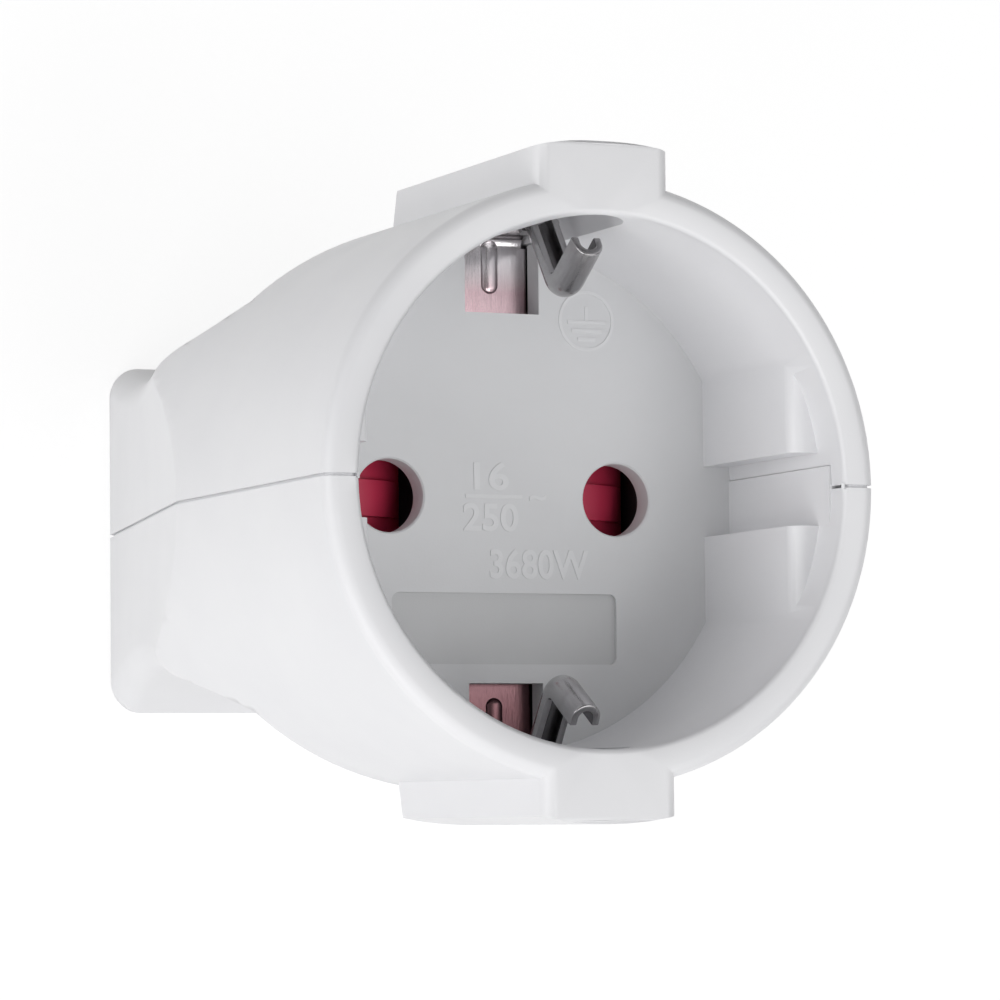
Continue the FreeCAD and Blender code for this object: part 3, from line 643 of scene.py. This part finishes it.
# %% Screw pieces
def screw_piece(node, direction, shank_radius, head_radius, head_height, pitch):
    """Detailed screw in the place of its CAD node. Direction points from the head's top outwards."""
    low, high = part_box(node)
    middle = (low + high) / 2
    axis = Vector(direction)
    reach = abs((high - low).dot(axis))
    top = middle + axis * (reach / 2)
    seat = top - axis * head_height
    turn = axis.to_track_quat("Z", "Y").to_matrix().to_4x4()
    solid = screw_shape(shank_radius, reach - head_height, head_radius, head_height, pitch)
    body = new_object("body", solid)
    cutter = new_object("cutter", cross_cutter(head_radius, head_height))
    cut = body.modifiers.new("cross", "BOOLEAN")
    cut.operation = "DIFFERENCE"
    cut.solver = "EXACT"
    cut.use_self = True
    cut.object = cutter
    bpy.context.view_layer.update()
    ready = body.evaluated_get(bpy.context.evaluated_depsgraph_get())
    mesh = bpy.data.meshes.new_from_object(ready)
    bpy.data.objects.remove(body)
    bpy.data.objects.remove(cutter)
    mesh.transform(Matrix.Translation(seat) @ turn)
    mesh.materials.clear()
    mesh.materials.append(zinc_steel)
    piece = new_object(node + "_threaded", mesh)
    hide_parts(node)
    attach(piece, "housing")
    print(node, "reach in mm:", round(1000 * reach, 2), "faces:", len(mesh.polygons))


# The sizes are the shank's radius, the head's radius and height, and the thread's pitch.
for side in ("left", "right"):
    screw_piece("housing_screw_" + side, (0, -1, 0), 0.0015, 0.0027, 0.0020, 0.0009)
    screw_piece("clamp_screw_" + side, (0, 1, 0), 0.0014, 0.0024, 0.0017, 0.0009)
for side in ("live", "neutral"):
    screw_piece(side + "_terminal_screw", (0, 1, 0), 0.0015, 0.0023, 0.0018, 0.0006)
screw_piece("earth_terminal_screw", (0, 0, -1), 0.00175, 0.0030, 0.0022, 0.0007)

# %% [markdown]
# ## The shutter's spring
# A round wire wound into a coil pushes the shutter back over the holes. A circle spun about the
# coil's axis with a rise per step is the whole spring. It shortens as the shutter slides.

# %% Spring
spring_low, spring_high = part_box("shutter_spring")
spring_middle = (spring_low + spring_high) / 2
wire = 0.0004
coils = 7
steps = 32 * coils
coil_radius = (spring_high.y - spring_low.y) / 2 - wire / 2
coil_length = (spring_high.x - spring_low.x) - wire
upright = Matrix.Rotation(math.radians(90), 4, "X")
lying = Matrix.Rotation(math.radians(90), 4, "Y")
winding = bmesh.new()
bmesh.ops.create_circle(winding, cap_ends=True, segments=10, radius=wire / 2,
                        matrix=Matrix.Translation((coil_radius, 0, 0)) @ upright)
wound = bmesh.ops.spin(winding, geom=winding.edges[:], cent=(0, 0, 0), axis=(0, 0, 1),
                       dvec=(0, 0, coil_length / steps), angle=math.radians(360 * coils), steps=steps,
                       use_merge=False, use_duplicate=False)
winding.faces.new(points_of(wound["geom_last"]))
bmesh.ops.recalc_face_normals(winding, faces=winding.faces)
bmesh.ops.translate(winding, verts=winding.verts, vec=(0, 0, -coil_length / 2))
bmesh.ops.transform(winding, verts=winding.verts, matrix=Matrix.Translation(spring_middle) @ lying)
shade_smooth(winding)
spring = new_object("return_spring", mesh_from(winding, "return_spring", spring_steel))
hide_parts("shutter_spring")
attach(spring, "housing")
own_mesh(spring)
print("spring from", round(1000 * spring_low.x, 2), "to", round(1000 * spring_high.x, 2), "mm, coils", coils)

# %% [markdown]
# ## Raised marks on the plate
# The plate carries faint raised marks: the rating in plain numbers, the sign for alternating
# current, and the earth sign in its ring. They stand 0.06 mm proud, and the tool is polished
# there. Their colour is a little paler than the plate: a painted sheen for their polished tops.
# Numbers come from a text curve that is made a mesh and then placed. The sign is built from bars
# and a ring. Every mark reaches a little way into the plate, so that no gap shows under it.

# %% Mark helpers
proud = 0.00006
rooted = 0.00005


def mark_piece(name, mesh):
    """A raised mark that belongs to the face plate."""
    mesh.materials.clear()
    mesh.materials.append(mark_painted_sheen_plastic)
    piece = new_object(name, mesh)
    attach(piece, "housing")


def raised_text(name, words, left, foot, width, height):
    """Plain raised figures in a box of this width and height, in metres on the plate."""
    curve = bpy.data.curves.new(name, "FONT")
    curve.body = words
    curve.size = 1.0
    curve.extrude = 0.5
    curve.offset = 0.018
    curve.resolution_u = 6
    holder = new_object(name, curve)
    bpy.context.view_layer.update()
    mesh = bpy.data.meshes.new_from_object(holder.evaluated_get(bpy.context.evaluated_depsgraph_get()))
    bpy.data.objects.remove(holder)
    shape = bmesh.new()
    shape.from_mesh(mesh)
    bmesh.ops.remove_doubles(shape, verts=shape.verts, dist=1e-5)
    low = Vector([min(v.co[i] for v in shape.verts) for i in range(3)])
    high = Vector([max(v.co[i] for v in shape.verts) for i in range(3)])
    size = high - low
    bmesh.ops.translate(shape, verts=shape.verts, vec=-low)
    bmesh.ops.scale(shape, verts=shape.verts,
                    vec=(width / size.x, height / size.y, (proud + rooted) / size.z))
    bmesh.ops.translate(shape, verts=shape.verts, vec=(left, foot, face_level - rooted))
    shape.to_mesh(mesh)
    shape.free()
    mark_piece(name, mesh)
    print(name, "raised", round(1000 * width, 1), "x", round(1000 * height, 1), "mm")


def raised_bar(shape, left, right, middle, width, turn=0.0):
    """One raised bar on the plate, added to a mesh."""
    bar = bmesh.ops.create_cube(shape, size=1.0)
    bmesh.ops.scale(shape, verts=bar["verts"], vec=(right - left, width, proud + rooted))
    bmesh.ops.rotate(shape, verts=bar["verts"], cent=(0, 0, 0), matrix=Matrix.Rotation(turn, 3, "Z"))
    bmesh.ops.translate(shape, verts=bar["verts"],
                        vec=((left + right) / 2, middle, face_level + (proud - rooted) / 2))


# %% Rating figures
figure_height = 0.00215
raised_text("figure_current", "16", -0.00252, 0.00055, 0.0029, figure_height)
raised_text("figure_voltage", "250", -0.00345, -0.0026, 0.0046, figure_height)
raised_text("figure_power", "3680W", -0.00125, -0.0062, 0.0083, 0.00228)
raised_text("figure_wave", "~", 0.0021, -0.0002, 0.0014, 0.00045)
rule = bmesh.new()
raised_bar(rule, -0.00325, 0.0015, 0.00008, 0.00028)
mark_piece("figure_rule", mesh_from(rule, "figure_rule"))

# %% Earth sign
sign_x = 0.00712
sign_y = 0.0138
ring_radius = 0.00235
ring_width = 0.10
stem_half = 0.00055
stem_width = 0.00026
bar_width = 0.00028
sign = bmesh.new()
raised_bar(sign, sign_x - stem_half, sign_x + stem_half, 0.01434, stem_width, math.radians(90))
for half, level in ((0.0016, 0.01367), (0.00128, 0.01302), (0.00073, 0.01237)):
    raised_bar(sign, sign_x - half, sign_x + half, level, bar_width)
rim = bmesh.ops.create_circle(sign, cap_ends=False, segments=64, radius=ring_radius)
rim_edges = [e for e in sign.edges if all(v in rim["verts"] for v in e.verts)]
inner = bmesh.ops.extrude_edge_only(sign, edges=rim_edges)
inner_verts = points_of(inner["geom"])
bmesh.ops.scale(sign, verts=inner_verts, vec=(1 - ring_width, 1 - ring_width, 1.0))
ring_faces = [g for g in inner["geom"] if isinstance(g, bmesh.types.BMFace)]
raised = bmesh.ops.extrude_face_region(sign, geom=ring_faces)
raised_verts = points_of(raised["geom"])
bmesh.ops.translate(sign, verts=raised_verts, vec=(0, 0, proud + rooted))
bmesh.ops.translate(sign, verts=list(dict.fromkeys([*rim["verts"], *inner_verts, *raised_verts])),
                    vec=(sign_x, sign_y, face_level - rooted))
bmesh.ops.recalc_face_normals(sign, faces=sign.faces)
sign_mesh = mesh_from(sign, "earth_sign")
mark_piece("earth_sign", sign_mesh)
print("earth sign faces:", len(sign_mesh.polygons))

# %% [markdown]
# ## Floor and light
# The picture has a pure white ground and soft light from several sides, strongest from the left
# and from below. The floor is white to the camera but keeps a trace of the object's shadow: most
# of what the camera sees on it is its own white, and the rest is lit like paper. Everything else,
# mirrored light apart, meets a plain matt floor.

# %% Floor
floor_shape = bmesh.new()
bmesh.ops.create_grid(floor_shape, x_segments=1, y_segments=1, size=3.0)
floor_paint = bpy.data.materials.new("floor_paper")
floor_paint.use_nodes = True
paper = floor_paint.node_tree
paper.nodes.clear()
add_paper = node_adder(paper)
seen = add_paper("ShaderNodeLightPath")
either = add_paper("ShaderNodeMath", {0: seen.outputs["Is Camera Ray"], 1: seen.outputs["Is Glossy Ray"]},
                   operation="MAXIMUM")
matt = add_paper("ShaderNodeBsdfDiffuse", {"Color": (0.80, 0.80, 0.80, 1)})
faint = add_paper("ShaderNodeBsdfDiffuse", {"Color": (0.28, 0.28, 0.28, 1)})
glow = add_paper("ShaderNodeEmission", {"Color": (1, 1, 1, 1), "Strength": 0.80})
lit = add_paper("ShaderNodeAddShader", {0: faint.outputs[0], 1: glow.outputs[0]})
shown = add_paper("ShaderNodeMixShader", {0: either.outputs[0], 1: matt.outputs[0], 2: lit.outputs[0]})
add_paper("ShaderNodeOutputMaterial", {"Surface": shown.outputs[0]})
floor = new_object("floor", mesh_from(floor_shape, "floor", floor_paint))
print("floor nodes:", [n.name for n in paper.nodes])

# %% [markdown]
# The room around is white to the camera and gives a weak light from everywhere.

# %% World
world = bpy.data.worlds.new("studio")
bpy.context.scene.world = world
world.use_nodes = True
sky = world.node_tree
sky.nodes.clear()
add_sky = node_adder(sky)
ray = add_sky("ShaderNodeLightPath")
room = add_sky("ShaderNodeBackground", {"Color": (1, 1, 1, 1), "Strength": 0.25})
ground = add_sky("ShaderNodeBackground", {"Color": (1, 1, 1, 1), "Strength": 1.0})
pick = add_sky("ShaderNodeMixShader", {0: ray.outputs["Is Camera Ray"], 1: room.outputs[0],
                                       2: ground.outputs[0]})
add_sky("ShaderNodeOutputWorld", {"Surface": pick.outputs[0]})
print("room light", room.inputs["Strength"].default_value)

# %% [markdown]
# Seven square soft lamps stand round the socket and face its middle. Most of the power comes from
# the left and from below, which leaves the recess its soft gradient.

# %% Lamps
lamp_size = 0.35
lamp_aim = Vector((0, 0, 0.05))
beside = 0.5438
diagonal = 0.3845
side_level = 0.3036
front_level = 0.5696
lamps = {
    "left_window": ((-beside, 0.0, side_level), 0.98),
    "left_below": ((-diagonal, -diagonal, side_level), 1.13),
    "left_above": ((-diagonal, diagonal, side_level), 0.17),
    "right_below": ((diagonal, -diagonal, side_level), 0.19),
    "front_below": ((0.1026, -0.2819, front_level), 0.88),
    "front_right": ((0.30, 0.0, front_level), 0.54),
    "below": ((0.0, -beside, side_level), 0.29),
}
for name, (place, power) in lamps.items():
    lamp_data = bpy.data.lights.new(name, "AREA")
    lamp_data.energy = power
    lamp_data.size = lamp_size
    lamp = new_object(name, lamp_data)
    lamp.location = place
    lamp.rotation_euler = (lamp_aim - Vector(place)).to_track_quat("-Z", "Y").to_euler()
print("lamps:", list(lamps))
